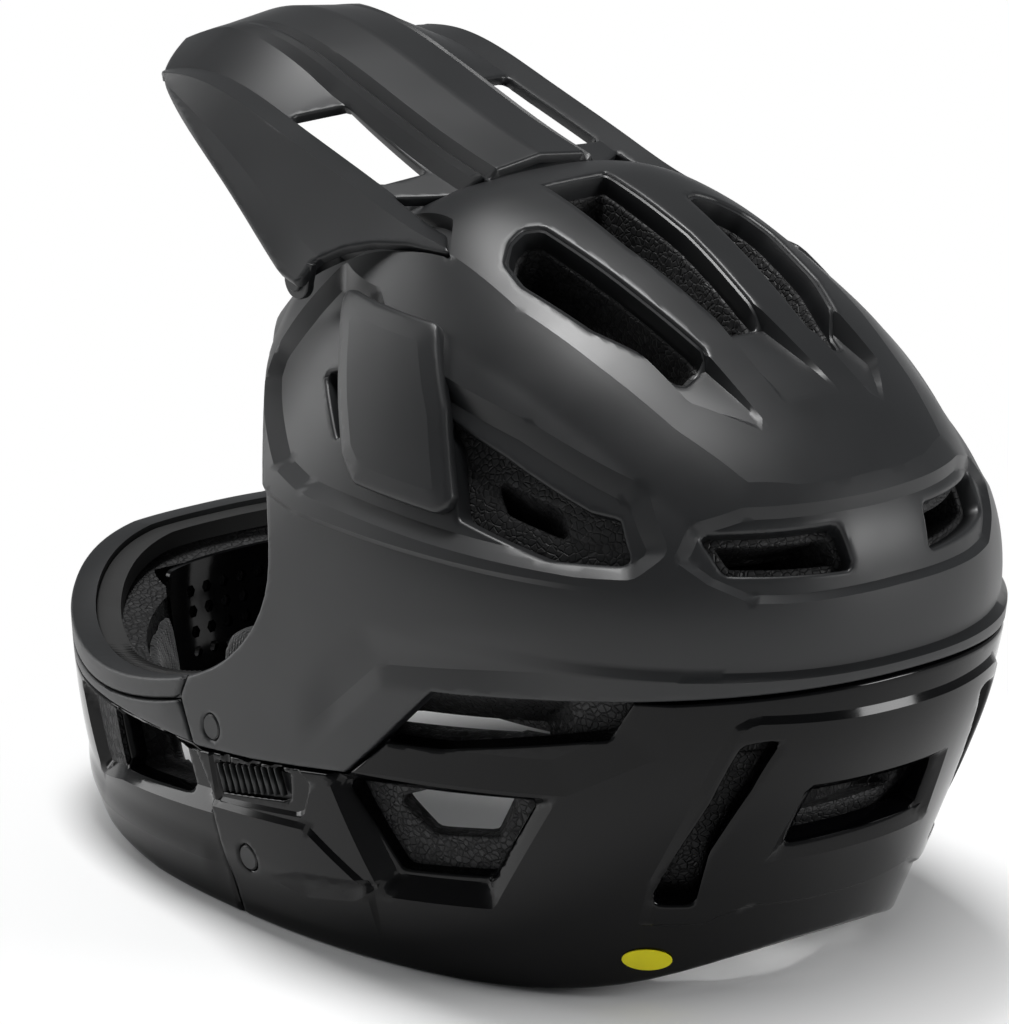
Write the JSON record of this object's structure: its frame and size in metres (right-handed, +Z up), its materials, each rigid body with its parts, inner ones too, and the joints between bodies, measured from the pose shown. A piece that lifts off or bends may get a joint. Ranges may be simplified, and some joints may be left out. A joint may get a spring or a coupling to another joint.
{
  "type": "full face bike helmet",
  "caption": "Full face downhill bike helmet: vented matte shell over a glossy lower shell and chin bar, foam liners, slip layer, snap-in pads, tilting visor and buckled chin strap.",
  "frame": {"origin": "centre of the bounding box on the surface that the helmet stands on", "axes": "-Y towards the face and the chin bar, +X towards the wearer's left, +Z up"},
  "size_m": [0.2182, 0.372, 0.2681],
  "materials": {
    "matte_shell": "matt grey painted polycarbonate",
    "gloss_shell": "glossy black lacquer",
    "trim_plastic": "fine-grained black nylon",
    "foam": "dark moulded bead foam",
    "pad_fabric": "knitted mesh over soft foam",
    "webbing": "woven nylon webbing",
    "steel": "plain zinc-plated steel",
    "elastomer": "soft elastomer",
    "yellow_plastic": "plain yellow plastic"
  },
  "bodies": {
    "helmet": {"upper_shell": "matte_shell", "lower_shell": "gloss_shell", "chin_bar": "gloss_shell", "chin_trim": "trim_plastic", "crown_liner": "foam", "band_liner": "foam", "lower_liner": "foam", "chin_liner": "foam", "neck_trim": "pad_fabric", "side_grille_left": "trim_plastic", "side_grille_right": "trim_plastic", "chin_bolts": "trim_plastic", "temple_cover_left": "matte_shell", "temple_cover_right": "matte_shell", "badge": "yellow_plastic", "visor_screws": "trim_plastic", "slip_anchors": "elastomer", "stud_sockets": "trim_plastic", "mouth_grille": "gloss_shell", "chin_linings": "pad_fabric", "strap_left": "webbing", "strap_right": "webbing", "strap_rivets": "steel", "buckle_body": "trim_plastic", "buckle_tongue": "trim_plastic", "strap_keeper": "elastomer"},
    "visor_body": {"visor": "matte_shell"},
    "slip_body": {"slip_liner": "trim_plastic", "brow_pad": "pad_fabric", "temple_pads": "pad_fabric", "rear_pad": "pad_fabric", "crown_pads": "pad_fabric"},
    "cheek_left_body": {"cheek_pad_left": "pad_fabric", "cheek_studs_left": "trim_plastic"},
    "cheek_right_body": {"cheek_pad_right": "pad_fabric", "cheek_studs_right": "trim_plastic"},
    "button_body": {"buckle_button": "yellow_plastic"}
  },
  "joints": [
    {"name": "visor_tilt", "type": "hinge", "parent": "helmet", "child": "visor_body", "pos_m": [0, -0.024, 0.21], "axis": [1, 0, 0], "range_deg": [0, 12]},
    {"name": "slip_turn", "type": "hinge", "parent": "helmet", "child": "slip_body", "pos_m": [0, 0.045, 0.154], "axis": [0, 0, 1], "range_deg": [-3, 3]},
    {"name": "cheek_left_release", "type": "slide", "parent": "helmet", "child": "cheek_left_body", "axis": [-1, 0, 0], "range_m": [0, 0.012]},
    {"name": "cheek_right_release", "type": "slide", "parent": "helmet", "child": "cheek_right_body", "axis": [1, 0, 0], "range_m": [0, 0.012]},
    {"name": "buckle_press", "type": "slide", "parent": "helmet", "child": "button_body", "axis": [0, 1, 0], "range_m": [0, 0.003]}
  ]
}
